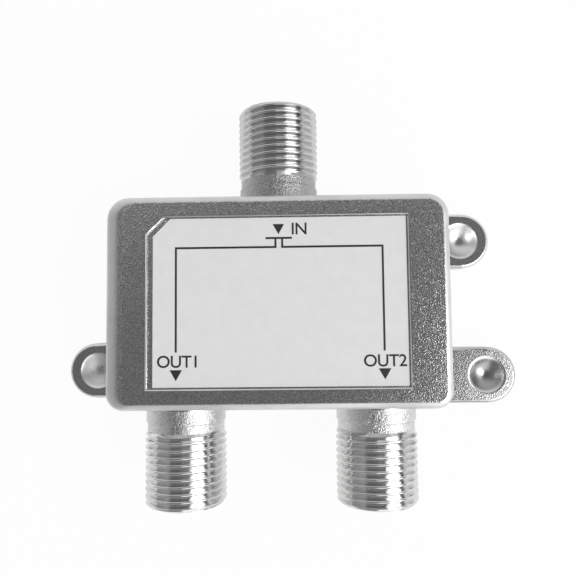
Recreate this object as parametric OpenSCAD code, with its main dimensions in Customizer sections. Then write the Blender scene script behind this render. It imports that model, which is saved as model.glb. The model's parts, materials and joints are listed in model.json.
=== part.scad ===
// Two-way coaxial splitter: a die-cast housing with one threaded inlet,
// two threaded outlets and three screw ears, closed by a staked back cover.
// X runs across the outlets, Y towards the inlet, Z out of the labelled front.
// The origin is the middle of the back plane.

/* [Housing] */
// Width of the housing at its front
body_w = 37.2; // [35:0.1:44]
// Length of the housing at its front, from outlet side to inlet side
body_l = 23.1; // [22.4:0.1:27]
// Depth of the housing from its back plane to its front face
body_d = 15.2; // [14.4:0.1:18]
// Thickness of the side walls at their front
wall = 1.6; // [1.2:0.1:2]
// Thickness of the front wall behind the label recess
front_wall = 1.4; // [1:0.1:1.8]
// Draft of each side, the extra width of a side at the back
draft = 0.25; // [0:0.05:0.4]
// Corner radius on the inlet side, seen from the front
inlet_corner_r = 2.4; // [1.9:0.1:3]
// Corner radius on the outlet side, seen from the front
outlet_corner_r = 1.9; // [1.6:0.1:3]
// Rounding of the front edges
front_round = 1.4; // [0.6:0.1:1.6]
// Corner radius of the cavity
cavity_corner_r = 1.2; // [0.6:0.1:1.8]

/* [Label] */
// Width of the label recess
recess_w = 28; // [24:0.1:30]
// Length of the label recess
recess_l = 18.4; // [15:0.1:19]
// Depth of the label recess
recess_depth = 0.4; // [0.2:0.05:0.6]
// Size of the cut corner of the recess
recess_cut = 1.9; // [1:0.1:3]
// Thickness of the label
label_t = 0.12; // [0.08:0.02:0.2]
// Gap between the label and the left side of the recess
label_gap_left = 0.6; // [0.1:0.05:1]
// Gap between the label and the other sides of the recess
label_gap = 0.15; // [0.05:0.05:0.4]

/* [Ports] */
// Distance from the axis of an outlet to the nearer side of the housing
outlet_margin = 7.4; // [6.4:0.1:8.6]
// Height of the port axes above the back plane
port_z = 7.7; // [7.3:0.1:8.4]
// Length of a port from the side of the housing to its end
port_len = 11.55; // [9:0.05:14]
// Outside diameter of the port thread
thread_d = 9.45; // [9:0.05:9.6]
// Length of the thread
thread_len = 8.3; // [6:0.1:8.6]
// Diameter of the port collar beside the housing
collar_d = 9.26; // [8.9:0.02:9.6]
// Diameter of the relief between collar and thread
relief_d = 8.96; // [8.6:0.02:9.2]
// Length of the relief
relief_len = 1.1; // [0.5:0.1:1.4]
// Bevel at the outer end of the thread
end_bevel = 0.52; // [0.2:0.02:0.8]
// Diameter of the bore that holds the insulator
bore_d = 6.6; // [6:0.1:7]
// Diameter of the mouth at the end of the port
mouth_d = 5.4; // [4.8:0.1:5.8]
// Thickness of the lip around the mouth
lip_t = 0.8; // [0.5:0.1:1.2]

/* [Insulators] */
// Clearance between an insulator and its bore, on the diameter
insulator_clear = 0.1; // [0.04:0.02:0.2]
// How far the insulator lies back from the end of the port
insulator_inset = 0.35; // [0.1:0.05:0.6]
// Thickness of the insulator around its guide hole
guide_t = 1.1; // [0.8:0.1:1.6]
// Diameter of the guide hole for the centre conductor
guide_d = 1.3; // [1.1:0.1:1.6]
// Diameter of the funnel at the mouth of the guide hole
funnel_d = 2.6; // [2:0.1:3]
// Diameter of the pocket that holds the spring contact
pocket_d = 3.2; // [3:0.1:3.6]
// Length of the plug that closes the insulator
plug_len = 3; // [2.6:0.1:3.6]
// How far the plug stands into the cavity
plug_out = 1; // [0.6:0.1:1.3]

/* [Contacts] */
// Thickness of the contact strip
strip_t = 0.25; // [0.2:0.01:0.3]
// Width of the contact strip
strip_w = 1.5; // [1.2:0.1:1.7]
// Distance between the two leaves at their root
leaf_gap = 1.6; // [1.3:0.1:1.8]
// Distance between the two leaves where they grip
grip_gap = 0.45; // [0.3:0.05:0.6]
// Clearance around the strip where it passes through a piece
strip_clear = 0.12; // [0.06:0.02:0.2]

/* [Ears] */
// Width of an ear
ear_w = 7; // [6:0.1:7.4]
// Thickness of an ear
ear_t = 2.6; // [2.4:0.1:3.2]
// Bevel along the front edge of an ear
ear_bevel = 0.3; // [0.1:0.05:0.5]
// Reach of the left ear from the middle of the housing
left_ear_reach = 27.4; // [26.4:0.1:30]
// Place of the left ear along the housing
left_ear_y = -8.2; // [-8.8:0.1:-4]
// Reach of the ear beside the inlet
upper_ear_reach = 26.9; // [26.4:0.1:30]
// Place of the ear beside the inlet along the housing
upper_ear_y = 8; // [4:0.1:8.6]
// Reach of the long ear beside the right outlet
lower_ear_reach = 29.8; // [26.4:0.1:32]
// Place of the long ear along the housing
lower_ear_y = -9.2; // [-9.4:0.1:-4]
// Diameter of the screw holes
screw_d = 3.2; // [2.8:0.1:3.6]
// Diameter of the dished mouth of a screw hole
dish_d = 4.7; // [4.2:0.1:5.2]
// Depth of the dished mouth
dish_depth = 1.1; // [0.8:0.1:1.3]
// Rounding of the lip of the dished mouth
dish_lip_r = 0.85; // [0.6:0.05:0.9]
// Thickness of the web that closes a screw hole under its dish
web_t = 0.4; // [0.3:0.1:0.6]
// Distance from the tip of an ear to its screw hole
screw_edge = 3.7; // [3.4:0.1:4.2]

/* [Back cover] */
// Thickness of the stamped back cover
cover_t = 0.7; // [0.5:0.05:1]
// Width of the ledge that carries the cover
ledge = 0.8; // [0.6:0.05:1]
// How far the cover lies in from the back plane
cover_inset = 0.3; // [0.2:0.05:0.5]
// Clearance around the cover
cover_clear = 0.1; // [0.05:0.01:0.2]
// Width of the margin around the field stamped out to the back plane
field_margin = 2.6; // [2:0.1:4]
// Radius of a stake that holds the cover
stake_r = 0.9; // [0.7:0.05:1.2]

/* [Circuit board] */
// Thickness of the circuit board
board_t = 1; // [0.8:0.1:1.2]
// Height of the upper face of the board above the back plane
board_top = 4.2; // [3.9:0.05:4.35]
// Clearance between the board and the walls
board_clear = 0.3; // [0.15:0.05:0.5]
// Radius of the cast posts that carry the board
post_r = 1.3; // [1:0.1:1.6]
// Diameter of the component leads
lead_d = 0.5; // [0.4:0.05:0.6]
// Clearance of a lead in its hole, on the diameter
lead_clear = 0.2; // [0.1:0.05:0.3]
// Length of a lead below the board
lead_tail = 0.8; // [0.4:0.1:1.2]

/* [Components] */
// Outside diameter of a transformer ring
ring_d = 5.4; // [5:0.1:5.6]
// Hole of a transformer ring
ring_hole = 2.2; // [2:0.1:2.6]
// Height of a transformer ring
ring_h = 2; // [1.6:0.1:2.4]
// Diameter of the winding wire
wire_d = 0.28; // [0.2:0.02:0.34]
// Clearance between a winding and its core
wire_gap = 0.06; // [0.04:0.01:0.1]
// Turns on the matching transformer
matching_turns = 5; // [3:1:6]
// Turns on the splitting transformer
splitting_turns = 6; // [3:1:6]
// Diameter of a choke rod
rod_d = 2; // [1.6:0.1:2.4]
// Length of a choke rod
rod_len = 5.6; // [5:0.1:6]
// Turns on a choke
choke_turns = 7; // [5:1:8]
// Distance between turns of a choke
choke_pitch = 0.6; // [0.5:0.02:0.62]
// Diameter of a diode body
diode_d = 2.4; // [2:0.1:2.7]
// Length of a diode body
diode_len = 4.4; // [4:0.1:4.8]
// Diameter of a blocking capacitor disc
disc_d = 4.4; // [3.6:0.1:5]
// Thickness of a blocking capacitor disc
disc_t = 1.8; // [1.4:0.1:2.2]
// Distance between the leads of a capacitor
disc_pitch = 2.5; // [2:0.1:2.8]
// Diameter of the trimming capacitor disc
trim_disc_d = 3.2; // [2.8:0.1:3.6]
// Diameter of the resistor body
resistor_d = 1.7; // [1.4:0.1:2]
// Length of the resistor body
resistor_len = 3.4; // [3:0.1:3.8]

/* [Hidden] */
$fn = 64;

// Cutters run past the faces they open by this much
over = 1;
// Working clearance between pieces that only lie close to each other
snug = 0.05;

// Cavity and back opening
cavity_w = body_w - 2 * wall;
cavity_l = body_l - 2 * wall;
cavity_top = body_d - recess_depth - front_wall;
cover_z = cover_inset + cover_t;
opening_w = cavity_w + 2 * ledge;
opening_l = cavity_l + 2 * ledge;
opening_r = cavity_corner_r + ledge;

// Distance between the two outlets
port_spacing = body_w - 2 * outlet_margin;

// Stations along a port, measured from the middle of the housing
port_end = body_l / 2 + port_len;
thread_start = port_end - thread_len;
relief_start = thread_start - relief_len;
lip_start = port_end - lip_t;
insulator_end = port_end - insulator_inset;
plug_back = body_l / 2 - wall - plug_out;
plug_front = plug_back + plug_len;
pocket_end = insulator_end - guide_t;

// Contact strip, in the port's own YZ plane
web_y = plug_back - snug - strip_t / 2;
leaf_z = (leaf_gap + strip_t) / 2;
grip_z = (grip_gap + strip_t) / 2;
leaf_tip_y = pocket_end - 0.3;
grip_y = leaf_tip_y - 1.1;
leaf_bend_y = plug_front + 1.2;
flare_z = leaf_z - 0.05;
tail_end = board_top - board_t - lead_tail;

// Circuit board, and the posts that carry it, clear of the plugs
board_w = cavity_w - 2 * board_clear;
board_l = cavity_l - 2 * board_clear;
post_x = cavity_w / 2 - post_r;
post_y = plug_back - board_clear - post_r;
lead_hole_d = lead_d + lead_clear;
// A place on the board, as shares of its half width and half length
function on_board(across, along) = [across * board_w / 2, along * board_l / 2];

// Transformer rings, lying flat above their own wire
ring_mid_r = (ring_d + ring_hole) / 4;
ring_half_w = (ring_d - ring_hole) / 4;
ring_half_h = ring_h / 2;
ring_chamfer = 0.5 * min(ring_half_w, ring_half_h);
coil_a = 1.2 * ring_half_w + wire_gap + wire_d / 2;
coil_b = 1.14 * ring_half_h + wire_gap + wire_d / 2;
ring_z = board_top + snug + coil_b + wire_d / 2;
winding_from = 150;
winding_arc = 240;
matching_at = on_board(-0.235, 0.39);
splitting_at = on_board(0.21, -0.17);

// Chokes, diodes, capacitors and resistor, placed on the board
choke_at = on_board(0.68, 0.51);
choke_r = rod_d / 2 + wire_gap + wire_d / 2;
choke_z = board_top + snug + choke_r + wire_d / 2;
choke_span = choke_turns * choke_pitch;
diode_at = on_board(0.68, 0.04);
diode_reach = diode_len / 2 + 1.3;
diode_z = board_top + snug + diode_d / 2;
out_disc_at = on_board(0.67, -0.46);
in_disc_at = on_board(0.19, 0.61);
trim_at = on_board(-0.22, -0.17);
resistor_at = on_board(-0.22, -0.54);
resistor_reach = resistor_len / 2 + 1;
resistor_z = board_top + snug + resistor_d / 2;
disc_lift = 0.6;

// Colours
cast_metal = [0.72, 0.72, 0.71];
paper_white = [0.9, 0.9, 0.9];
tin_plate = [0.66, 0.67, 0.68];
board_green = [0.1, 0.32, 0.18];
nylon_white = [0.93, 0.92, 0.88];
spring_brass = [0.83, 0.68, 0.33];
ferrite_grey = [0.2, 0.2, 0.21];
enamel_red = [0.62, 0.22, 0.1];
epoxy_black = [0.08, 0.08, 0.09];
ceramic_tan = [0.76, 0.5, 0.24];
resistor_blue = [0.45, 0.62, 0.74];

// Plain shapes

// Rounded rectangle from exact circles and squares
module rounded_plan(w, l, r) {
    square([w - 2 * r, l], center = true);
    square([w, l - 2 * r], center = true);
    for (sx = [-1, 1], sy = [-1, 1])
        translate([sx * (w / 2 - r), sy * (l / 2 - r)])
            circle(r = r);
}

// Rectangle with one cut corner at the upper left, from its four sides
module cut_corner_plan(left, right, bottom, top, cut) {
    polygon([
        [left, bottom], [right, bottom], [right, top],
        [left + cut, top], [left, top - cut]
    ]);
}

// Outline of a bent strip of thickness t along a centre line of points
function unit(v) = v / norm(v);
function normal_2d(a, b) = unit([a[1] - b[1], b[0] - a[0]]);
function strip_normals(p) = [for (i = [0:len(p) - 2]) normal_2d(p[i], p[i + 1])];
function mitre(n, i, last) =
    i == 0 ? n[0] :
    i == last ? n[last - 1] :
    (n[i - 1] + n[i]) / (1 + n[i - 1] * n[i]);
function strip_side(p, s) =
    let (n = strip_normals(p), last = len(p) - 1)
    [for (i = [0:last]) p[i] + s * mitre(n, i, last)];
function reversed(p) = [for (i = [len(p) - 1:-1:0]) p[i]];
function strip_outline(p, t) = concat(strip_side(p, t / 2), reversed(strip_side(p, -t / 2)));

// Round wire of diameter d along a path of 3-D points
wire_sides = 8;
wire_steps = 14;
function below(p) = [p[0], p[1], tail_end];
function with_leads(p) = concat([below(p[0])], p, [below(p[len(p) - 1])]);
function tangent(p, i) = unit(p[min(i + 1, len(p) - 1)] - p[max(i - 1, 0)]);
function square_to(v, t) = unit(v - (v * t) * t);
function wire_sidesteps(p, start) = [
    for (i = 0, u = square_to(start, tangent(p, 0)); i < len(p);
         i = i + 1, u = i < len(p) ? square_to(u, tangent(p, i)) : u) u
];
module wire(p, d, start) {
    n = wire_sides;
    u = wire_sidesteps(p, start);
    rings = [
        for (i = [0:len(p) - 1], k = [0:n - 1])
            let (t = tangent(p, i), v = cross(t, u[i]), a = 360 * k / n)
                p[i] + d / 2 * (cos(a) * u[i] + sin(a) * v)
    ];
    sides = [
        for (i = [0:len(p) - 2], k = [0:n - 1])
            [i * n + k, (i + 1) * n + k, (i + 1) * n + (k + 1) % n, i * n + (k + 1) % n]
    ];
    first = [for (k = [0:n - 1]) k];
    last = [for (k = [n - 1:-1:0]) (len(p) - 1) * n + k];
    polyhedron(points = rings, faces = concat([first], sides, [last]), convexity = 6);
}

// Moves a shape from the port's own frame, outwards along +Y, to a port
module at_inlet() {
    translate([0, 0, port_z]) children();
}
module at_outlet(side) {
    translate([side * port_spacing / 2, 0, port_z]) rotate([0, 0, 180]) children();
}
// Turns a profile of radius and station about the port axis
module turned() {
    rotate([-90, 0, 0]) rotate_extrude() children();
}

// Housing

// One corner of the shell, with its draft and its rounded front edge
module shell_corner(r) {
    cylinder(h = 0.5, r = r + draft);
    translate([0, 0, body_d - front_round])
        rotate_extrude() {
            square([r - front_round + 0.01, front_round]);
            translate([r - front_round, 0])
                intersection() {
                    circle(r = front_round);
                    square(front_round);
                }
        }
}

module shell() {
    hull($fn = 40) {
        for (sx = [-1, 1]) {
            translate([sx * (body_w / 2 - inlet_corner_r), body_l / 2 - inlet_corner_r, 0])
                shell_corner(inlet_corner_r, $fn = 40);
            translate([sx * (body_w / 2 - outlet_corner_r), -(body_l / 2 - outlet_corner_r), 0])
                shell_corner(outlet_corner_r, $fn = 40);
        }
    }
}

// Port barrel: collar, relief and the cylinder that carries the thread
module barrel() {
    start_bevel = (thread_d - relief_d) / 2;
    turned()
        polygon([
            [0, body_l / 2 - wall],
            [collar_d / 2, body_l / 2 - wall],
            [collar_d / 2, relief_start - (collar_d - relief_d) / 2],
            [relief_d / 2, relief_start],
            [relief_d / 2, thread_start - start_bevel],
            [thread_d / 2, thread_start],
            [thread_d / 2, port_end - end_bevel],
            [thread_d / 2 - end_bevel, port_end],
            [0, port_end]
        ]);
}

// Stepped bore of a port, open to the cavity and to the mouth
module barrel_bore() {
    turned()
        polygon([
            [0, body_l / 2 - wall - over],
            [bore_d / 2, body_l / 2 - wall - over],
            [bore_d / 2, lip_start],
            [mouth_d / 2, lip_start],
            [mouth_d / 2, port_end + over],
            [0, port_end + over]
        ]);
}

// Ear with two round ends, the inner one sunk in the shell,
// side +1 on the right and -1 on the left
module ear(reach, y, side) {
    r = ear_w / 2;
    outer = side * (reach - r);
    inner = side * (body_w / 2 + draft - r);
    for (x = [outer, inner])
        translate([x, y, 0])
            rotate_extrude()
                polygon([[0, 0], [r, 0], [r, ear_t - ear_bevel], [r - ear_bevel, ear_t], [0, ear_t]]);
    translate([min(outer, inner), y, 0])
        rotate([90, 0, 90])
            linear_extrude(height = abs(outer - inner))
                polygon([
                    [-r, 0], [r, 0], [r, ear_t - ear_bevel],
                    [r - ear_bevel, ear_t], [ear_bevel - r, ear_t], [-r, ear_t - ear_bevel]
                ]);
}

// Dished mouth of a screw hole, down from z = 0: a ball that runs into the
// rounding of the lip, which meets the front of the ear at a slight angle
dish_edge_angle = 16;
module dish() {
    lip = [dish_d / 2 + dish_lip_r * sin(dish_edge_angle), -dish_lip_r * cos(dish_edge_angle)];
    drop = dish_depth + lip[1];
    ball_r = (pow(lip[0], 2) + pow(drop, 2) - pow(dish_lip_r, 2)) / (2 * (dish_lip_r + drop));
    ball_z = ball_r - dish_depth;
    touch = lip + dish_lip_r * unit([-lip[0], ball_z - lip[1]]);
    rotate_extrude() {
        intersection() {
            translate([0, ball_z])
                circle(r = ball_r);
            translate([0, -dish_depth])
                square([touch[0], dish_depth + over]);
        }
        difference() {
            translate([0, touch[1]])
                square([dish_d / 2, over - touch[1]]);
            translate(lip)
                circle(r = dish_lip_r);
        }
    }
}

// Screw hole, cast from both sides: the dish in the front of the ear and a
// bore in its back, with a thin web between them that the screw is driven
// through
module screw_hole(reach, y, side) {
    translate([side * (reach - screw_edge), y, 0]) {
        translate([0, 0, -over])
            cylinder(h = over + ear_t - dish_depth - web_t, d = screw_d);
        translate([0, 0, ear_t])
            dish();
    }
}

// Stakes: casting metal pushed over the edge of the back cover
stake_x = opening_w / 2 - 4;
stake_y = opening_l / 2 - 4;
module stakes() {
    h = cover_inset - snug;
    inner = stake_r - 0.4;
    for (sx = [-1, 0, 1], sy = [-1, 1])
        translate([sx * stake_x, sy * (opening_l / 2 + inner), 0])
            cylinder(h = h, r = stake_r);
    for (sx = [-1, 1], sy = [-1, 1])
        translate([sx * (opening_w / 2 + inner), sy * stake_y, 0])
            cylinder(h = h, r = stake_r);
}

module posts() {
    for (sx = [-1, 1], sy = [-1, 1])
        translate([sx * post_x, sy * post_y, board_top]) {
            cylinder(h = cavity_top - board_top + front_wall / 2, r = post_r);
            translate([sx > 0 ? 0 : -post_r - wall / 2, -post_r, 0])
                cube([post_r + wall / 2, 2 * post_r, cavity_top - board_top + front_wall / 2]);
        }
}

module label_recess() {
    translate([0, 0, body_d - recess_depth])
        linear_extrude(height = recess_depth + over)
            cut_corner_plan(-recess_w / 2, recess_w / 2, -recess_l / 2, recess_l / 2, recess_cut);
}

module housing() {
    color(cast_metal) {
        difference() {
            union() {
                shell();
                at_inlet() barrel();
                at_outlet(-1) barrel();
                at_outlet(1) barrel();
                ear(left_ear_reach, left_ear_y, -1);
                ear(upper_ear_reach, upper_ear_y, 1);
                ear(lower_ear_reach, lower_ear_y, 1);
            }
            label_recess();
            difference() {
                translate([0, 0, -over])
                    linear_extrude(height = cavity_top + over)
                        rounded_plan(cavity_w, cavity_l, cavity_corner_r);
                posts();
            }
            difference() {
                translate([0, 0, -over])
                    linear_extrude(height = cover_z + over)
                        rounded_plan(opening_w, opening_l, opening_r);
                stakes();
            }
            at_inlet() barrel_bore();
            at_outlet(-1) barrel_bore();
            at_outlet(1) barrel_bore();
            screw_hole(left_ear_reach, left_ear_y, -1);
            screw_hole(upper_ear_reach, upper_ear_y, 1);
            screw_hole(lower_ear_reach, lower_ear_y, 1);
        }
    }
}

// Label on the floor of its recess
module label() {
    color(paper_white)
        translate([0, 0, body_d - recess_depth])
            linear_extrude(height = label_t)
                cut_corner_plan(
                    -recess_w / 2 + label_gap_left, recess_w / 2 - label_gap,
                    -recess_l / 2 + label_gap, recess_l / 2 - label_gap,
                    recess_cut
                );
}

// Stamped cover: its margin lies on the ledge under the stakes, and its
// field is pressed out to the back plane
module back_cover() {
    w = opening_w - 2 * cover_clear;
    l = opening_l - 2 * cover_clear;
    field_w = w - 2 * field_margin;
    field_l = l - 2 * field_margin;
    color(tin_plate)
        difference() {
            union() {
                translate([0, 0, cover_inset])
                    linear_extrude(height = cover_t)
                        rounded_plan(w, l, opening_r - cover_clear);
                linear_extrude(height = cover_t)
                    rounded_plan(field_w, field_l, opening_r);
            }
            translate([0, 0, cover_t])
                linear_extrude(height = cover_inset + over)
                    rounded_plan(field_w - 2 * cover_t, field_l - 2 * cover_t, opening_r - cover_t);
        }
}

// Insulators and contacts

// Front insulator: guide hole with a funnel, and a pocket for the contact
module insulator() {
    body_r = (bore_d - insulator_clear) / 2;
    nose_r = (mouth_d - insulator_clear) / 2;
    color(nylon_white)
        turned()
            polygon([
                [pocket_d / 2, plug_front + snug],
                [body_r, plug_front + snug],
                [body_r, lip_start - snug],
                [nose_r, lip_start - snug],
                [nose_r, insulator_end],
                [funnel_d / 2, insulator_end],
                [guide_d / 2, insulator_end - (funnel_d - guide_d) / 2],
                [guide_d / 2, pocket_end],
                [pocket_d / 2, pocket_end]
            ]);
}

// Rear plug with a slot for each leaf of the contact
module plug() {
    r = (bore_d - insulator_clear) / 2;
    slot_h = strip_t + 2 * strip_clear;
    slot_w = strip_w + 2 * strip_clear;
    color(nylon_white)
        difference() {
            turned()
                polygon([
                    [0, plug_back], [r - 0.2, plug_back], [r, plug_back + 0.2],
                    [r, plug_front], [0, plug_front]
                ]);
            for (s = [-1, 1])
                translate([-slot_w / 2, plug_back - over, s * leaf_z - slot_h / 2])
                    cube([slot_w, plug_len + 2 * over, slot_h]);
        }
}

// Spring contact: two leaves that pinch the centre conductor, and a tail
// that goes down through the board
module contact() {
    leaf = [
        [web_y, leaf_z], [leaf_bend_y, leaf_z],
        [grip_y, grip_z], [leaf_tip_y, flare_z]
    ];
    lower_leaf = [for (q = leaf) [q[0], -q[1]]];
    path = concat(reversed(leaf), [[web_y, -leaf_z]]);
    tail = [[web_y, 0], [web_y, tail_end - port_z]];
    color(spring_brass)
        rotate([90, 0, 90])
            translate([0, 0, -strip_w / 2])
                linear_extrude(height = strip_w) {
                    polygon(strip_outline(path, strip_t));
                    polygon(strip_outline(lower_leaf, strip_t));
                    polygon(strip_outline(tail, strip_t));
                }
}

// Circuit board, with a hole for each lead and a slot for each contact tail
function lead_pair(at, half) = [[at[0] - half, at[1]], [at[0] + half, at[1]]];
function mirrored_x(at) = [-at[0], at[1]];
function ring_leads(at) = [
    at + (ring_mid_r + coil_a) * [cos(winding_from), sin(winding_from)],
    at + (ring_mid_r - coil_a) * [cos(winding_from + winding_arc), sin(winding_from + winding_arc)]
];
function choke_leads(at) = [
    at + [-choke_span / 2, choke_r], at + [choke_span / 2, -choke_r]
];
lead_points = concat(
    ring_leads(matching_at), ring_leads(splitting_at),
    choke_leads(choke_at), choke_leads(mirrored_x(choke_at)),
    lead_pair(diode_at, diode_reach), lead_pair(mirrored_x(diode_at), diode_reach),
    lead_pair(out_disc_at, disc_pitch / 2), lead_pair(mirrored_x(out_disc_at), disc_pitch / 2),
    lead_pair(in_disc_at, disc_pitch / 2), lead_pair(trim_at, disc_pitch / 2),
    lead_pair(resistor_at, resistor_reach)
);
module circuit_board() {
    tail_w = strip_w + 2 * strip_clear;
    tail_t = strip_t + 2 * strip_clear;
    color(board_green)
        translate([0, 0, board_top - board_t])
            difference() {
                linear_extrude(height = board_t)
                    rounded_plan(board_w, board_l, cavity_corner_r);
                for (p = lead_points)
                    translate([p[0], p[1], -over])
                        cylinder(h = board_t + 2 * over, d = lead_hole_d, $fn = 24);
                for (at = [[0, 1], [-1, -1], [1, -1]])
                    translate([at[0] * port_spacing / 2 - tail_w / 2,
                               at[1] * web_y - tail_t / 2, -over])
                        cube([tail_w, tail_t, board_t + 2 * over]);
            }
}

// Components

// Ferrite ring with chamfered edges
module ring_core(at) {
    c = ring_chamfer;
    color(ferrite_grey)
        translate([at[0], at[1], ring_z])
            rotate_extrude()
                translate([ring_mid_r, 0])
                    polygon([
                        [-ring_half_w + c, -ring_half_h], [ring_half_w - c, -ring_half_h],
                        [ring_half_w, -ring_half_h + c], [ring_half_w, ring_half_h - c],
                        [ring_half_w - c, ring_half_h], [-ring_half_w + c, ring_half_h],
                        [-ring_half_w, ring_half_h - c], [-ring_half_w, -ring_half_h + c]
                    ]);
}

// Wire wound round the section of a ring. It comes up through the board
// outside the ring, and goes down again through the middle of the ring.
module ring_winding(at, turns) {
    n = round((turns - 0.5) * wire_steps);
    coil = [
        for (i = [0:n])
            let (phi = winding_from + winding_arc * i / n, th = 360 * i / wire_steps,
                 r = ring_mid_r + coil_a * cos(th))
                [at[0] + r * cos(phi), at[1] + r * sin(phi), ring_z + coil_b * sin(th)]
    ];
    color(enamel_red)
        wire(with_leads(coil), wire_d, [0, 1, 0]);
}

// Choke rod
module choke_core(at) {
    color(ferrite_grey)
        translate([at[0] - rod_len / 2, at[1], choke_z])
            rotate([0, 90, 0])
                cylinder(h = rod_len, d = rod_d, $fn = 48);
}

// Choke winding: a helix round the rod, up through the board on one side
// and down on the other
module choke_winding(at) {
    n = round((choke_turns - 0.5) * wire_steps);
    helix = [
        for (i = [0:n])
            let (a = 360 * i / wire_steps)
                [at[0] - choke_span / 2 + choke_span * i / n,
                 at[1] + choke_r * cos(a), choke_z + choke_r * sin(a)]
    ];
    color(enamel_red)
        wire(with_leads(helix), wire_d, [0, 1, 0]);
}

// Lead bent down at a right angle from x0 outwards to x1 and through the board
module bent_lead(x0, x1, y, z) {
    r = lead_d / 2;
    s = x1 > x0 ? 1 : -1;
    bend = lead_d;
    translate([s > 0 ? x0 : x1 + bend, y, z])
        rotate([0, 90, 0])
            cylinder(h = abs(x1 - x0) - bend, r = r, $fn = 24);
    translate([x1, y, tail_end])
        cylinder(h = z - bend - tail_end, r = r, $fn = 24);
    translate([x1 - s * bend, y, z - bend])
        rotate([90, 0, 0])
            rotate([0, 0, s > 0 ? 0 : 90])
                rotate_extrude(angle = 90, $fn = 48)
                    translate([bend, 0])
                        circle(r = r, $fn = 24);
}

// Diode: moulded body with two bent leads
module diode(at) {
    color(epoxy_black)
        translate([at[0] - diode_len / 2, at[1], diode_z])
            rotate([0, 90, 0])
                rotate_extrude($fn = 48)
                    polygon([
                        [0, 0], [diode_d / 2 - 0.2, 0], [diode_d / 2, 0.2],
                        [diode_d / 2, diode_len - 0.2], [diode_d / 2 - 0.2, diode_len], [0, diode_len]
                    ]);
    color(tin_plate)
        for (s = [-1, 1])
            bent_lead(at[0] + s * (diode_len / 2 - 0.1), at[0] + s * diode_reach, at[1], diode_z);
}

// Disc capacitor: a lens-shaped disc standing on two straight leads
module disc_capacitor(at, d) {
    z = board_top + disc_lift + d / 2;
    edge = 0.4;
    color(ceramic_tan)
        translate([at[0], at[1], z])
            rotate([90, 0, 0])
                rotate_extrude($fn = 64)
                    polygon([
                        [0, -disc_t / 2], [d / 2 - 2 * edge, -disc_t / 2], [d / 2, -disc_t / 2 + edge],
                        [d / 2, disc_t / 2 - edge], [d / 2 - 2 * edge, disc_t / 2], [0, disc_t / 2]
                    ]);
    color(tin_plate)
        for (s = [-1, 1])
            translate([at[0] + s * disc_pitch / 2, at[1], tail_end])
                cylinder(h = z - tail_end, d = lead_d, $fn = 24);
}

// Resistor: dog-bone body with two bent leads
module resistor(at) {
    r = resistor_d / 2;
    waist = r - 0.15;
    cap = 0.8;
    color(resistor_blue)
        translate([at[0] - resistor_len / 2, at[1], resistor_z])
            rotate([0, 90, 0])
                rotate_extrude($fn = 48)
                    polygon([
                        [0, 0], [waist, 0], [r, 0.15], [r, cap], [waist, cap + 0.15],
                        [waist, resistor_len - cap - 0.15], [r, resistor_len - cap],
                        [r, resistor_len - 0.15], [waist, resistor_len], [0, resistor_len]
                    ]);
    color(tin_plate)
        for (s = [-1, 1])
            bent_lead(at[0] + s * (resistor_len / 2 - 0.1), at[0] + s * resistor_reach,
                      at[1], resistor_z);
}

housing();
label();
back_cover();
circuit_board();
at_inlet() insulator();  // in_insulator
at_outlet(-1) insulator();  // out1_insulator
at_outlet(1) insulator();  // out2_insulator
at_inlet() plug();  // in_plug
at_outlet(-1) plug();  // out1_plug
at_outlet(1) plug();  // out2_plug
at_inlet() contact();  // in_contact
at_outlet(-1) contact();  // out1_contact
at_outlet(1) contact();  // out2_contact
ring_core(matching_at);  // matching_core
ring_winding(matching_at, matching_turns);  // matching_winding
ring_core(splitting_at);  // splitting_core
ring_winding(splitting_at, splitting_turns);  // splitting_winding
choke_core(mirrored_x(choke_at));  // out1_choke_core
choke_winding(mirrored_x(choke_at));  // out1_choke_winding
choke_core(choke_at);  // out2_choke_core
choke_winding(choke_at);  // out2_choke_winding
diode(mirrored_x(diode_at));  // out1_diode
diode(diode_at);  // out2_diode
disc_capacitor(in_disc_at, disc_d);  // in_capacitor
disc_capacitor(mirrored_x(out_disc_at), disc_d);  // out1_capacitor
disc_capacitor(out_disc_at, disc_d);  // out2_capacitor
disc_capacitor(trim_at, trim_disc_d);  // trimming_capacitor
resistor(resistor_at);  // balance_resistor
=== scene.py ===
"""Looks of a two-way coaxial splitter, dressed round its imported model.

X runs across the outlets, Y towards the inlet and Z out of the labelled front. Lengths are metres.
"""

import json
import logging
import math
from collections.abc import Callable, Iterator, Sequence
from contextlib import contextmanager
from dataclasses import dataclass, field
from enum import Enum

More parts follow.
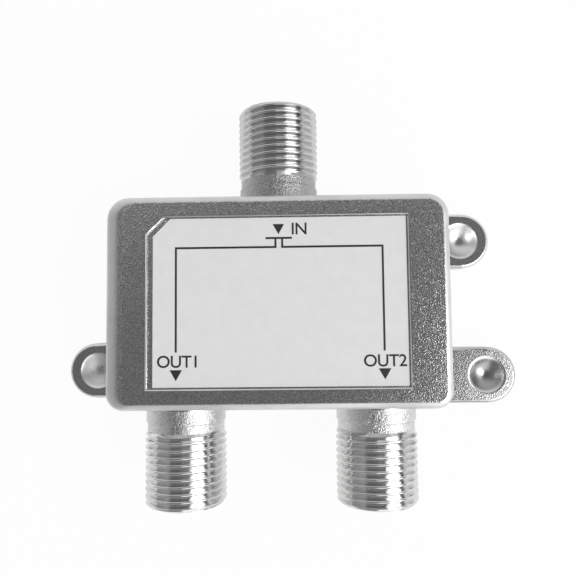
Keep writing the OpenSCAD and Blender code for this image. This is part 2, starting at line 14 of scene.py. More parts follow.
import bmesh
import bpy
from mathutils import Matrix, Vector

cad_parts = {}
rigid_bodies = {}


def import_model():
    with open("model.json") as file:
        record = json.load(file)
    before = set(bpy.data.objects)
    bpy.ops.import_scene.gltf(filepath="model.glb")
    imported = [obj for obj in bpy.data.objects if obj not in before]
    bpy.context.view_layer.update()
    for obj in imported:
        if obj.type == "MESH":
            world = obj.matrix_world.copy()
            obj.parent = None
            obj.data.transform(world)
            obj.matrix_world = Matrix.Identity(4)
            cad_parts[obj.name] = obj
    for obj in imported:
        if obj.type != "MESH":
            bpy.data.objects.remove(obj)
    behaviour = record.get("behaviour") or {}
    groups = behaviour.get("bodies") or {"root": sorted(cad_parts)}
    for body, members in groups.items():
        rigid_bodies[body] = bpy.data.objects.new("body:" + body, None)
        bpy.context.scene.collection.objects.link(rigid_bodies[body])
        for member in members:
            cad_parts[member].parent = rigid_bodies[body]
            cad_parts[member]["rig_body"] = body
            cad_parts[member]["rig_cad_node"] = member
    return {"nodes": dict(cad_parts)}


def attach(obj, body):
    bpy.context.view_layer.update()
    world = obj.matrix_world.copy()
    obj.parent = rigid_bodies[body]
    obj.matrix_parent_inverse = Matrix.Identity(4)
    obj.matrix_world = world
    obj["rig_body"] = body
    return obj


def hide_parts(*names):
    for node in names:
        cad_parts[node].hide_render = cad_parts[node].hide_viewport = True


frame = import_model()

log = logging.getLogger("splitter")

MM = 0.001
NEAR = 1e-6  # metres within which two places count as one
TOUCH = 1e-7  # metres within which points of a mesh under construction are the same
Point = tuple[float, float, float]
Colour = tuple[float, float, float]


class Bench:
    """The few moves that every piece is modelled with."""

    @staticmethod
    def take(obj: bpy.types.Object) -> bpy.types.Object:
        """Selects one object alone and makes it the active one."""
        bpy.ops.object.select_all(action="DESELECT")
        obj.select_set(True)
        bpy.context.view_layer.objects.active = obj
        return obj

    @staticmethod
    def clear() -> None:
        """Leaves nothing selected, before a primitive is added."""
        bpy.ops.object.select_all(action="DESELECT")

    @staticmethod
    def name(name: str) -> bpy.types.Object:
        """Names the active object and its mesh."""
        obj = bpy.context.active_object
        obj.name = name
        obj.data.name = name
        return obj

    @staticmethod
    @contextmanager
    def editing(obj: bpy.types.Object, mode: str = "EDGE") -> Iterator[None]:
        """Opens an object in edit mode with nothing selected.

        Args:
            obj: The object to edit.
            mode: The select mode, VERT, EDGE or FACE.
        """
        Bench.take(obj)
        bpy.ops.object.mode_set(mode="EDIT")
        bpy.ops.mesh.select_mode(type=mode)
        bpy.ops.mesh.select_all(action="DESELECT")
        yield
        bpy.ops.object.mode_set(mode="OBJECT")

    @staticmethod
    def choose(obj: bpy.types.Object, kind: str, test: Callable) -> int:
        """Selects the elements of an open mesh that pass a test, and no others.

        Args:
            obj: The object in edit mode.
            kind: Which elements are tested, verts, edges or faces.
            test: Says whether an element is chosen.

        Returns:
            How many were chosen.
        """
        bpy.ops.mesh.select_all(action="DESELECT")
        mesh = bmesh.from_edit_mesh(obj.data)
        chosen = [item for item in getattr(mesh, kind) if test(item)]
        for item in chosen:
            item.select_set(True)
        mesh.select_flush_mode()
        bmesh.update_edit_mesh(obj.data)
        return len(chosen)

    @staticmethod
    def apply(obj: bpy.types.Object, kind: str, **settings: object) -> None:
        """Gives an object a modifier and applies it at once.

        Args:
            obj: The object.
            kind: The modifier's type.
            **settings: Its values.
        """
        Bench.take(obj)
        modifier = obj.modifiers.new(kind.title(), kind)
        for key, value in settings.items():
            setattr(modifier, key, value)
        bpy.ops.object.modifier_apply(modifier=modifier.name)

    @staticmethod
    def copy(obj: bpy.types.Object, name: str) -> bpy.types.Object:
        """Duplicates an object with its own mesh, free of the frame."""
        Bench.take(obj)
        bpy.ops.object.duplicate()
        twin = Bench.name(name)
        twin.parent = None
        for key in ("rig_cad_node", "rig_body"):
            if key in twin:
                del twin[key]
        return twin

    @staticmethod
    def join(obj: bpy.types.Object, others: Sequence[bpy.types.Object]) -> None:
        """Makes other objects part of the first one's mesh, each with its own finish."""
        Bench.take(obj)
        for other in others:
            other.select_set(True)
        bpy.ops.object.join()

    @staticmethod
    def smooth(obj: bpy.types.Object, degrees: float) -> None:
        """Shades an object smooth, apart from edges sharper than the angle."""
        Bench.take(obj)
        bpy.ops.object.shade_smooth_by_angle(angle=math.radians(degrees))


class Graph:
    """A node tree and the short ways to fill it."""

    def __init__(self, tree: bpy.types.NodeTree) -> None:
        """Keeps the tree that the calls work on."""
        self.tree = tree

    def add(self, kind: str, **values: object) -> bpy.types.Node:
        """Adds a node.

        Args:
            kind: The node's type.
            **values: Its settings. A name that the node lacks is one of its inputs, with _ for a space.

        Returns:
            The new node.
        """
        node = self.tree.nodes.new(kind)
        for key, value in values.items():
            if hasattr(node, key):
                setattr(node, key, value)
            else:
                self.feed(node.inputs[key.replace("_", " ")], value)
        return node

    def feed(self, socket: bpy.types.NodeSocket, value: object) -> None:
        """Links a socket, or sets it where the value isn't a socket."""
        if isinstance(value, bpy.types.NodeSocket):
            self.tree.links.new(value, socket)
        else:
            socket.default_value = value

    def math(self, operation: str, *values: object, clamp: bool = False) -> bpy.types.NodeSocket:
        """Adds a Math node and returns its result."""
        node = self.tree.nodes.new("ShaderNodeMath")
        node.operation = operation
        node.use_clamp = clamp
        for socket, value in zip(node.inputs, values):
            self.feed(socket, value)
        return node.outputs[0]

    def ramp(self, factor: bpy.types.NodeSocket, *stops: tuple[float, float]) -> bpy.types.NodeSocket:
        """Adds a grey colour ramp.

        Args:
            factor: The socket that drives it.
            *stops: Places and grey values, two or more.

        Returns:
            The ramp's colour socket.
        """
        node = self.tree.nodes.new("ShaderNodeValToRGB")
        points = node.color_ramp.elements
        while len(points) < len(stops):
            points.new(0.5)
        for point, (place, grey) in zip(points, stops):
            point.position = place
            point.color = (grey, grey, grey, 1)
        self.feed(node.inputs["Fac"], factor)
        return node.outputs["Color"]

    def blend(self, factor: object, low: object, high: object) -> bpy.types.NodeSocket:
        """Mixes two colours and returns the result."""
        node = self.tree.nodes.new("ShaderNodeMix")
        node.data_type = "RGBA"
        self.feed(node.inputs["Factor"], factor)
        self.feed(node.inputs[6], rgba(low))
        self.feed(node.inputs[7], rgba(high))
        return node.outputs[2]

    def level(self, factor: object, low: float, high: float) -> bpy.types.NodeSocket:
        """Maps 0 to 1 onto a range of numbers."""
        node = self.add("ShaderNodeMapRange", Value=factor)
        node.inputs["To Min"].default_value = low
        node.inputs["To Max"].default_value = high
        return node.outputs[0]


def rgba(colour: object) -> object:
    """Gives a plain colour its alpha, and passes a socket on."""
    if isinstance(colour, tuple) and len(colour) == 3:
        return (*colour, 1.0)
    return colour


class Effects:
    """Node groups that several finishes share, each built once."""

    made: dict[str, bpy.types.NodeTree] = {}
    cloud_scale: float = 0.31
    cloud_share: float = 0.6
    pit_share: float = 0.45
    smear_range: tuple[float, float] = (0.42, 0.68)

    @classmethod
    def group(cls, name: str, inputs: Sequence[tuple[str, float]], outputs: Sequence[str],
              fill: Callable) -> bpy.types.NodeTree:
        """Builds a group on first use.

        Args:
            name: The group's name.
            inputs: Names and default values of the number inputs. Each group also takes a Vector.
            outputs: Names of the number outputs.
            fill: Fills the tree. It takes the graph, the input node and the output node.

        Returns:
            The group.
        """
        if name not in cls.made:
            tree = bpy.data.node_groups.new(name, "ShaderNodeTree")
            tree.interface.new_socket("Vector", in_out="INPUT", socket_type="NodeSocketVector")
            for label, value in inputs:
                socket = tree.interface.new_socket(label, in_out="INPUT", socket_type="NodeSocketFloat")
                socket.default_value = value
            for label in outputs:
                tree.interface.new_socket(label, in_out="OUTPUT", socket_type="NodeSocketFloat")
            graph = Graph(tree)
            source = tree.nodes.new("NodeGroupInput")
            sink = tree.nodes.new("NodeGroupOutput")
            fill(graph, source, sink)
            cls.made[name] = tree
        return cls.made[name]

    @classmethod
    def cast_skin(cls) -> bpy.types.NodeTree:
        """Frosted skin of a die casting: its height, and its cloudy and its fine part by themselves."""

        def fill(graph: Graph, source: bpy.types.Node, sink: bpy.types.Node) -> None:
            """Mixes two sizes of noise and small pits into a height."""
            vector = source.outputs["Vector"]
            scale = graph.math("DIVIDE", 1.0, source.outputs["Grain"])
            fine = graph.add("ShaderNodeTexNoise", Vector=vector, Scale=scale, Detail=2.0, Roughness=0.55)
            cloud_scale = graph.math("MULTIPLY", scale, cls.cloud_scale)
            cloud = graph.add("ShaderNodeTexNoise", Vector=vector, Scale=cloud_scale, Detail=2.0)
            cells = graph.add("ShaderNodeTexVoronoi", Vector=vector, Scale=scale)
            pits = graph.math("MULTIPLY", cells.outputs["Distance"], cls.pit_share)
            sharp = graph.math("ADD", fine.outputs["Fac"], pits)
            soft = graph.math("MULTIPLY", cloud.outputs["Fac"], cls.cloud_share)
            height = graph.math("ADD", sharp, soft)
            graph.feed(sink.inputs["Height"], height)
            graph.feed(sink.inputs["Cloud"], cloud.outputs["Fac"])
            graph.feed(sink.inputs["Fine"], fine.outputs["Fac"])

        return cls.group("cast skin", [("Grain", 0.00014)], ["Height", "Cloud", "Fine"], fill)

    @classmethod
    def handling(cls) -> bpy.types.NodeTree:
        """Faint smears and rubbed places of a handled surface, as a mask."""

        def fill(graph: Graph, source: bpy.types.Node, sink: bpy.types.Node) -> None:
            """Stretches soft noise and keeps its brighter part."""
            scale = graph.math("DIVIDE", 1.0, source.outputs["Size"])
            soft = graph.add("ShaderNodeTexNoise", Vector=source.outputs["Vector"], Scale=scale,
                             Detail=4.0, Roughness=0.6, Distortion=0.4)
            start, end = cls.smear_range
            mask = graph.ramp(soft.outputs["Fac"], (start, 0.0), (end, 1.0))
            graph.feed(sink.inputs["Mask"], mask)

        return cls.group("handling", [("Size", 0.006)], ["Mask"], fill)


class Surface:
    """A material under construction: its graph, its shader and its object coordinates."""

    def __init__(self, name: str, metallic: float = 0.0, **plain: float) -> None:
        """Makes the material.

        Args:
            name: The material's name.
            metallic: 1 for metals.
            **plain: Numbers that are the same all over, by the shader's input name with _ for a space.
        """
        self.material = bpy.data.materials.new(name)
        self.material.use_nodes = True
        tree = self.material.node_tree
        tree.nodes.clear()
        self.graph = Graph(tree)
        self.shader = self.graph.add("ShaderNodeBsdfPrincipled", Metallic=metallic, **plain)
        output = self.graph.add("ShaderNodeOutputMaterial")
        tree.links.new(self.shader.outputs["BSDF"], output.inputs["Surface"])
        self.place = self.graph.add("ShaderNodeTexCoord").outputs["Object"]

    def effect(self, group: bpy.types.NodeTree, vector: object = None, **values: float) -> bpy.types.Node:
        """Places a shared effect.

        Args:
            group: The node group.
            vector: Its coordinates, or None for the object's own.
            **values: Its inputs.

        Returns:
            The group node.
        """
        node = self.graph.tree.nodes.new("ShaderNodeGroup")
        node.node_tree = group
        self.graph.feed(node.inputs["Vector"], vector or self.place)
        for key, value in values.items():
            self.graph.feed(node.inputs[key], value)
        return node

    def bump(self, height: bpy.types.NodeSocket, strength: object, distance: float) -> None:
        """Presses a height into the surface, after any earlier one.

        Args:
            height: The height from 0 to 1.
            strength: How much of it shows, a number or a mask.
            distance: The depth in metres.
        """
        node = self.graph.add("ShaderNodeBump", Height=height, Strength=strength, Distance=distance)
        earlier = self.shader.inputs["Normal"].links
        if earlier:
            self.graph.feed(node.inputs["Normal"], earlier[0].from_socket)
        self.graph.feed(self.shader.inputs["Normal"], node.outputs["Normal"])

    def set(self, name: str, value: object) -> None:
        """Sets or links one of the shader's inputs."""
        self.graph.feed(self.shader.inputs[name], rgba(value))


@dataclass(frozen=True)
class Zones:
    """Masks of the casting: its frost, flat faces, ear dishes, outer front edges, recess lip and collars."""

    frost: bpy.types.NodeSocket
    flat: bpy.types.NodeSocket
    dish: bpy.types.NodeSocket
    rim: bpy.types.NodeSocket
    lip: bpy.types.NodeSocket
    collar: bpy.types.NodeSocket


@dataclass(frozen=True)
class Slope:
    """A number that changes evenly over a stretch of a value, and is held beyond both ends."""

    start: float
    end: float
    low: float
    high: float

    def over(self, g: Graph, value: bpy.types.NodeSocket) -> bpy.types.NodeSocket:
        """Maps a value.

        Args:
            g: The graph.
            value: The value.

        Returns:
            The number that belongs to it.
        """
        node = g.add("ShaderNodeMapRange", Value=value, From_Min=self.start, From_Max=self.end,
                     To_Min=self.low, To_Max=self.high)
        return node.outputs[0]


@dataclass(frozen=True)
class CastMetal:
    """Bright plate over a frosted die casting.

    The front sparkles, more on the left, and so does the long ear. The collars are frosted, and rounded
    edges and dishes shine softly. Painted shade darkens the ear dishes, most in the lower right ear, and the
    inlet's collar. Dark flecks on flat faces are a mottling of the plate that is partly painted shade held
    in its pits. The masks that hold this read the place on the part and its own normal.
    """

    base: Colour = (0.75, 0.75, 0.745)
    dark: Colour = (0.50, 0.50, 0.50)
    # Colour of the dark flecks on flat faces, also used as painted shade in the ear dishes and on the inlet's
    # collar.
    speck_and_shade: Colour = (0.34, 0.34, 0.34)
    grain: float = 0.145 * MM
    pit_depth: float = 0.07 * MM
    ear_top: float = 2.7 * MM
    ear_side: float = 19.0 * MM
    port_y: float = 12.0 * MM
    rim_x: float = 16.0 * MM
    rim_y: float = 9.9 * MM
    rim_z: float = 13.5 * MM
    flat_face: tuple[float, float] = (0.955, 0.99)
    level_face: tuple[float, float] = (0.982, 0.997)
    ear_face: tuple[float, float] = (0.5, 0.7)
    dish_face: float = 0.1
    front_across: Slope = Slope(-16 * MM, 16 * MM, 0.62, 0.33)
    front_along: Slope = Slope(-10 * MM, 8 * MM, 0.72, 1.0)
    ear_across: Slope = Slope(19 * MM, 31 * MM, 0.2, 0.11)
    ear_along: Slope = Slope(-2 * MM, 2 * MM, 1.0, 0.45)
    ear_left: Slope = Slope(0.0, 1 * MM, 0.3, 1.0)
    dish_depth: Slope = Slope(2.25 * MM, 2.59 * MM, 1.0, 0.0)
    dish_softness: Slope = Slope(-19 * MM, 19 * MM, 0.25, 0.04)
    # Painted shade in the ear dishes, from none on the left to most in the lower right ear's dish.
    dish_painted_shade: Slope = Slope(18 * MM, 32 * MM, 0.0, 0.9)
    rounded_rough: float = 0.29
    flat_rough: float = 0.16
    rim_change: float = 0.25
    lip_change: float = -0.19
    collar_change: float = -0.1
    rub_change: float = 0.04
    rub_size: float = 7 * MM
    rub_tint: float = 0.5
    speck_range: tuple[float, float] = (0.4, 0.62)
    speck_share: float = 0.8
    # How far painted shade darkens the inlet's collar.
    inlet_shade: float = 0.75
    least_frost: float = 0.05
    patches: tuple[float, float] = (0.7, 1.3)

    def zones(self, skin: Surface) -> Zones:
        """Works out where the casting is frosted and how far it is soft.

        Args:
            skin: The material under construction.

        Returns:
            The masks.
        """
        g = skin.graph
        x, y, z = g.add("ShaderNodeSeparateXYZ", Vector=skin.place).outputs
        facing = g.add("ShaderNodeTexCoord").outputs["Normal"]
        up = g.add("ShaderNodeSeparateXYZ", Vector=facing).outputs["Z"]
        steep = g.math("ABSOLUTE", up)
        flat = self.mask(g, steep, self.flat_face)
        front = g.math("MULTIPLY", self.front_across.over(g, x), self.front_along.over(g, y))
        front = g.math("MULTIPLY", self.mask(g, steep, self.level_face), front)
        low = g.math("LESS_THAN", z, self.ear_top)
        ears = g.math("MULTIPLY", low, g.math("GREATER_THAN", g.math("ABSOLUTE", x), self.ear_side))
        dish = g.math("MULTIPLY", ears, self.dish_depth.over(g, z))
        dish = g.math("MULTIPLY", dish, g.math("GREATER_THAN", up, self.dish_face))
        ported = g.math("GREATER_THAN", g.math("ABSOLUTE", y), self.port_y)
        collar = g.math("MULTIPLY", ported, g.math("SUBTRACT", 1.0, low))
        frost = g.math("MULTIPLY", front, g.math("SUBTRACT", 1.0, collar))
        frost = g.math("MAXIMUM", collar, frost)
        frost = g.blend(ears, frost, g.math("MULTIPLY", self.mask(g, up, self.ear_face), self.ear(g, x, y)))
        frost = g.math("MULTIPLY", frost, g.math("SUBTRACT", 1.0, dish))
        rim = g.math("MULTIPLY", g.math("GREATER_THAN", z, self.rim_z), g.math("SUBTRACT", 1.0, flat))
        inner = g.math("LESS_THAN", g.math("ABSOLUTE", x), self.rim_x)
        inner = g.math("MULTIPLY", inner, g.math("LESS_THAN", g.math("ABSOLUTE", y), self.rim_y))
        lip = g.math("MULTIPLY", rim, inner)
        return Zones(frost, flat, dish, g.math("SUBTRACT", rim, lip), lip, collar)

    def mask(self, g: Graph, value: bpy.types.NodeSocket, span: tuple[float, float]) -> bpy.types.NodeSocket:
        """Returns a mask that rises from 0 to 1 over a span of a value."""
        return g.ramp(value, (span[0], 0.0), (span[1], 1.0))

    def ear(self, g: Graph, x: bpy.types.NodeSocket, y: bpy.types.NodeSocket) -> bpy.types.NodeSocket:
        """Returns the frost of the ears: strongest on the long one, where it joins the box."""
        frost = g.math("MULTIPLY", self.ear_across.over(g, x), self.ear_along.over(g, y))
        return g.math("MULTIPLY", frost, self.ear_left.over(g, x))

    def rough(self, g: Graph, zones: Zones, x: bpy.types.NodeSocket,
              rubbed: bpy.types.NodeSocket) -> bpy.types.NodeSocket:
        """Works out the roughness.

        Args:
            g: The graph.
            zones: The masks.
            x: The place across the outlets.
            rubbed: The mask of handled places.

        Returns:
            The roughness.
        """
        rough = g.level(zones.flat, self.rounded_rough, self.flat_rough)
        changes = (
            (zones.dish, self.dish_softness.over(g, x)), (zones.rim, self.rim_change),
            (zones.lip, self.lip_change), (zones.collar, self.collar_change), (rubbed, self.rub_change),
        )
        for mask, change in changes:
            rough = g.math("ADD", rough, g.math("MULTIPLY", mask, change))
        return rough

    def build(self) -> bpy.types.Material:
        """Returns the material."""
        skin = Surface("plated_casting", metallic=1.0)
        g = skin.graph
        zones = self.zones(skin)
        x, y, _ = g.add("ShaderNodeSeparateXYZ", Vector=skin.place).outputs
        cast = skin.effect(Effects.cast_skin(), Grain=self.grain)
        rubbed = skin.effect(Effects.handling(), Size=self.rub_size).outputs["Mask"]
        skin.set("Roughness", self.rough(g, zones, x, rubbed))
        tint = g.blend(g.math("MULTIPLY", rubbed, self.rub_tint), self.base, self.dark)
        # Dark flecks from the fine frost noise on flat faces: a mottling of the plate, and partly painted
        # shade held in its pits.
        specks_and_shade = g.math("MULTIPLY", self.mask(g, cast.outputs["Fine"], self.speck_range), zones.flat)
        specks_and_shade = g.math("MULTIPLY", specks_and_shade, self.speck_share)
        # Painted shade: the dishes take the dark colour, more as x minus y grows.
        dish_shade = self.dish_painted_shade.over(g, g.math("SUBTRACT", x, y))
        specks_and_shade = g.math("MAXIMUM", specks_and_shade, g.math("MULTIPLY", zones.dish, dish_shade))
        # Painted shade: the inlet's collar takes the dark colour, though it is the same plate as the outlets'
        # collars.
        inlet = g.math("MULTIPLY", zones.collar, g.math("GREATER_THAN", y, 0.0))
        specks_and_shade = g.math("MAXIMUM", specks_and_shade, g.math("MULTIPLY", inlet, self.inlet_shade))
        skin.set("Base Color", g.blend(specks_and_shade, tint, self.speck_and_shade))
        patches = g.level(cast.outputs["Cloud"], *self.patches)
        strength = g.math("MULTIPLY", g.level(zones.frost, self.least_frost, 1.0), patches, clamp=True)
        skin.bump(cast.outputs["Height"], strength, self.pit_depth)
        return skin.material


@dataclass(frozen=True)
class ThreadPlate:
    """Bright plate on a rolled thread, with a faint skin and rubbed places. Painted shade makes the inlet's
    thread darker all over.
    """

    base: Colour = (0.72, 0.72, 0.715)
    # Colour of the rubbed places, and of the painted shade on the inlet's thread.
    worn_and_shade_colour: Colour = (0.52, 0.52, 0.52)
    # How far painted shade darkens the inlet's thread.
    inlet_shade: float = 0.55
    rub_share: float = 0.4
    rub_size: float = 2.2 * MM
    rough: tuple[float, float] = (0.1, 0.2)
    grain: float = 0.1 * MM
    pit_depth: float = 0.03 * MM
    frost: float = 0.12

    def build(self) -> bpy.types.Material:
        """Returns the material."""
        plate = Surface("plated_thread", metallic=1.0)
        g = plate.graph
        cast = plate.effect(Effects.cast_skin(), Grain=self.grain)
        rubbed = plate.effect(Effects.handling(), Size=self.rub_size).outputs["Mask"]
        y = g.add("ShaderNodeSeparateXYZ", Vector=plate.place).outputs["Y"]
        # Painted shade on the inlet's thread, joined with the rubbed places, which are real wear.
        inlet = g.math("MULTIPLY", g.math("GREATER_THAN", y, 0.0), self.inlet_shade)
        worn_and_shaded = g.math("MAXIMUM", g.math("MULTIPLY", rubbed, self.rub_share), inlet)
        plate.set("Base Color", g.blend(worn_and_shaded, self.base, self.worn_and_shade_colour))
        plate.set("Roughness", g.level(rubbed, *self.rough))
        plate.bump(cast.outputs["Height"], self.frost, self.pit_depth)
        return plate.material


@dataclass(frozen=True)
class LabelFilm:
    """Matt white film with a fine tooth."""

    base: Colour = (0.84, 0.84, 0.84)
    shade: Colour = (0.81, 0.812, 0.815)
    haze_scale: float = 900.0
    haze_range: tuple[float, float] = (0.35, 0.7)
    rough: tuple[float, float] = (0.42, 0.58)
    tooth_scale: float = 14000.0
    tooth_height: float = 0.008 * MM
    tooth_strength: float = 0.25

    def build(self) -> bpy.types.Material:
        """Returns the material."""
        film = Surface("label_film", Specular_IOR_Level=0.4)
        g = film.graph
        haze = g.add("ShaderNodeTexNoise", Vector=film.place, Scale=self.haze_scale, Detail=5.0)
        start, end = self.haze_range
        mask = g.ramp(haze.outputs["Fac"], (start, 0.0), (end, 1.0))
        film.set("Base Color", g.blend(mask, self.base, self.shade))
        tooth = g.add("ShaderNodeTexNoise", Vector=film.place, Scale=self.tooth_scale, Detail=2.0)
        film.set("Roughness", g.level(tooth.outputs["Fac"], *self.rough))
        film.bump(tooth.outputs["Fac"], self.tooth_strength, self.tooth_height)
        return film.material


@dataclass(frozen=True)
class PrintInk:
    """Black printing ink, slightly uneven."""

    base: Colour = (0.012, 0.012, 0.013)
    thin: Colour = (0.03, 0.03, 0.032)
    spread_scale: float = 9000.0
    rough: tuple[float, float] = (0.45, 0.65)

    def build(self) -> bpy.types.Material:
        """Returns the material."""
        ink = Surface("print_ink")
        g = ink.graph
        spread = g.add("ShaderNodeTexNoise", Vector=ink.place, Scale=self.spread_scale, Detail=3.0)
        ink.set("Base Color", g.blend(spread.outputs["Fac"], self.base, self.thin))
        ink.set("Roughness", g.level(spread.outputs["Fac"], *self.rough))
        return ink.material


@dataclass(frozen=True)
class TinPlate:
    """Tinned steel sheet with a faint rolling grain and rubbed places."""

    base: Colour = (0.58, 0.59, 0.60)
    rubbed: Colour = (0.47, 0.475, 0.48)
    line_scale: float = 16000.0
    line_stretch: float = 0.06
    line_height: float = 0.006 * MM
    line_strength: float = 0.2
    rough: tuple[float, float] = (0.22, 0.4)
    rub_size: float = 5 * MM
    rub_change: float = 0.12

    def build(self) -> bpy.types.Material:
        """Returns the material."""
        tin = Surface("tinned_sheet", metallic=1.0)
        g = tin.graph
        along = g.add("ShaderNodeMapping", Vector=tin.place, Scale=(self.line_stretch, 1.0, 1.0))
        lines = g.add("ShaderNodeTexNoise", Vector=along.outputs[0], Scale=self.line_scale, Detail=3.0)
        rubbed = tin.effect(Effects.handling(), Size=self.rub_size).outputs["Mask"]
        tin.set("Base Color", g.blend(rubbed, self.base, self.rubbed))
        rough = g.level(lines.outputs["Fac"], *self.rough)
        tin.set("Roughness", g.math("ADD", rough, g.math("MULTIPLY", rubbed, self.rub_change)))
        tin.bump(lines.outputs["Fac"], self.line_strength, self.line_height)
        return tin.material


@dataclass(frozen=True)
class Moulded:
    """A moulded plastic or dipped coat: an even colour with soft mottling and a fine skin."""

    name: str
    base: Colour
    mottle: Colour
    rough: float
    grain: float = 0.5 * MM
    fineness: float = 4.0
    relief: float = 0.01 * MM
    relief_strength: float = 0.3
    spread: float = 0.06

    def build(self) -> bpy.types.Material:
        """Returns the material."""
        coat = Surface(self.name, IOR=1.5)
        g = coat.graph
        soft = g.add("ShaderNodeTexNoise", Vector=coat.place, Scale=1 / self.grain, Detail=4.0)
        coat.set("Base Color", g.blend(soft.outputs["Fac"], self.base, self.mottle))
        low, high = self.rough - self.spread, self.rough + self.spread
        coat.set("Roughness", g.level(soft.outputs["Fac"], low, high))
        fine = g.add("ShaderNodeTexNoise", Vector=coat.place, Scale=self.fineness / self.grain, Detail=2.0)
        coat.bump(fine.outputs["Fac"], self.relief_strength, self.relief)
        return coat.material


@dataclass(frozen=True)
class DrawnMetal:
    """Bright strip or enamelled wire, with drawing marks along it."""

    name: str
    base: Colour
    tone: Colour
    rough: float
    metallic: float = 1.0
    coat: float = 0.0
    coat_rough: float = 0.12
    spread: float = 0.07
    tarnish_scale: float = 1500.0
    mark_scale: float = 22000.0
    mark_height: float = 0.004 * MM
    mark_strength: float = 0.15

    def build(self) -> bpy.types.Material:
        """Returns the material."""
        strip = Surface(self.name, metallic=self.metallic, Coat_Weight=self.coat,
                        Coat_Roughness=self.coat_rough)
        g = strip.graph
        tarnish = g.add("ShaderNodeTexNoise", Vector=strip.place, Scale=self.tarnish_scale, Detail=5.0)
        strip.set("Base Color", g.blend(tarnish.outputs["Fac"], self.base, self.tone))
        low, high = self.rough - self.spread, self.rough + self.spread
        strip.set("Roughness", g.level(tarnish.outputs["Fac"], low, high))
        marks = g.add("ShaderNodeTexNoise", Vector=strip.place, Scale=self.mark_scale, Detail=2.0)
        strip.bump(marks.outputs["Fac"], self.mark_strength, self.mark_height)
        return strip.material


@dataclass(frozen=True)
class Ferrite:
    """Pressed and fired powder: dark, matt and slightly pitted."""

    base: Colour = (0.045, 0.045, 0.05)
    fleck: Colour = (0.09, 0.09, 0.095)
    grain: float = 0.12 * MM
    pit_depth: float = 0.02 * MM
    pit_strength: float = 0.35
    rough: tuple[float, float] = (0.5, 0.75)

    def build(self) -> bpy.types.Material:
        """Returns the material."""
        body = Surface("fired_ferrite", Specular_IOR_Level=0.55)
        g = body.graph
        cast = body.effect(Effects.cast_skin(), Grain=self.grain)
        body.set("Base Color", g.blend(cast.outputs["Cloud"], self.base, self.fleck))
        body.set("Roughness", g.level(cast.outputs["Cloud"], *self.rough))
        body.bump(cast.outputs["Height"], self.pit_strength, self.pit_depth)
        return body.material


@dataclass(frozen=True)
class BoardLaminate:
    """Glass laminate under a green mask: the weave shows as a fine check."""

    mask: Colour = (0.02, 0.14, 0.055)
    weave: Colour = (0.03, 0.2, 0.075)
    thread: float = 0.45 * MM
    relief: float = 0.01 * MM
    relief_strength: float = 0.2
    rough: tuple[float, float] = (0.3, 0.42)
    coat: float = 0.4
    coat_rough: float = 0.15

    def build(self) -> bpy.types.Material:
        """Returns the material."""
        board = Surface("board_laminate", Coat_Weight=self.coat, Coat_Roughness=self.coat_rough)
        g = board.graph
        split = g.add("ShaderNodeSeparateXYZ", Vector=board.place)
        turn = math.tau / self.thread
        turns = [g.math("SINE", g.math("MULTIPLY", axis, turn)) for axis in split.outputs[:2]]
        check = g.math("MULTIPLY_ADD", g.math("MULTIPLY", *turns), 0.5, 0.5)
        board.set("Base Color", g.blend(check, self.mask, self.weave))
        board.set("Roughness", g.level(check, *self.rough))
        board.bump(check, self.relief_strength, self.relief)
        return board.material


class Finish(Enum):
    """Every finish of the splitter."""

    CAST = CastMetal()
    THREAD = ThreadPlate()
    FILM = LabelFilm()
    INK = PrintInk()
    TIN = TinPlate()
    NYLON = Moulded("nylon", (0.82, 0.81, 0.77), (0.74, 0.73, 0.68), 0.42)
    BRASS = DrawnMetal("spring_brass", (0.72, 0.54, 0.22), (0.6, 0.43, 0.17), 0.25)
    WIRE = DrawnMetal("enamelled_wire", (0.42, 0.09, 0.03), (0.3, 0.06, 0.02), 0.3, 0.6, 0.7)
    FERRITE = Ferrite()
    LAMINATE = BoardLaminate()
    EPOXY = Moulded("diode_epoxy", (0.018, 0.018, 0.02), (0.03, 0.03, 0.032), 0.45)
    TAN = Moulded("capacitor_coat", (0.5, 0.24, 0.08), (0.42, 0.19, 0.06), 0.25)
    BLUE = Moulded("resistor_coat", (0.2, 0.38, 0.52), (0.17, 0.33, 0.46), 0.28)

    def material(self) -> bpy.types.Material:
        """Returns the finish's material, made on first use."""
        known = MATERIALS.get(self)
        if known is None:
            known = MATERIALS[self] = self.value.build()
        return known


MATERIALS: dict[Finish, bpy.types.Material] = {}


def dress(obj: bpy.types.Object, finish: Finish) -> None:
    """Gives an object one finish in all its material slots."""
    if not obj.data.materials:
        obj.data.materials.append(None)
    for slot in obj.material_slots:
        slot.material = finish.material()


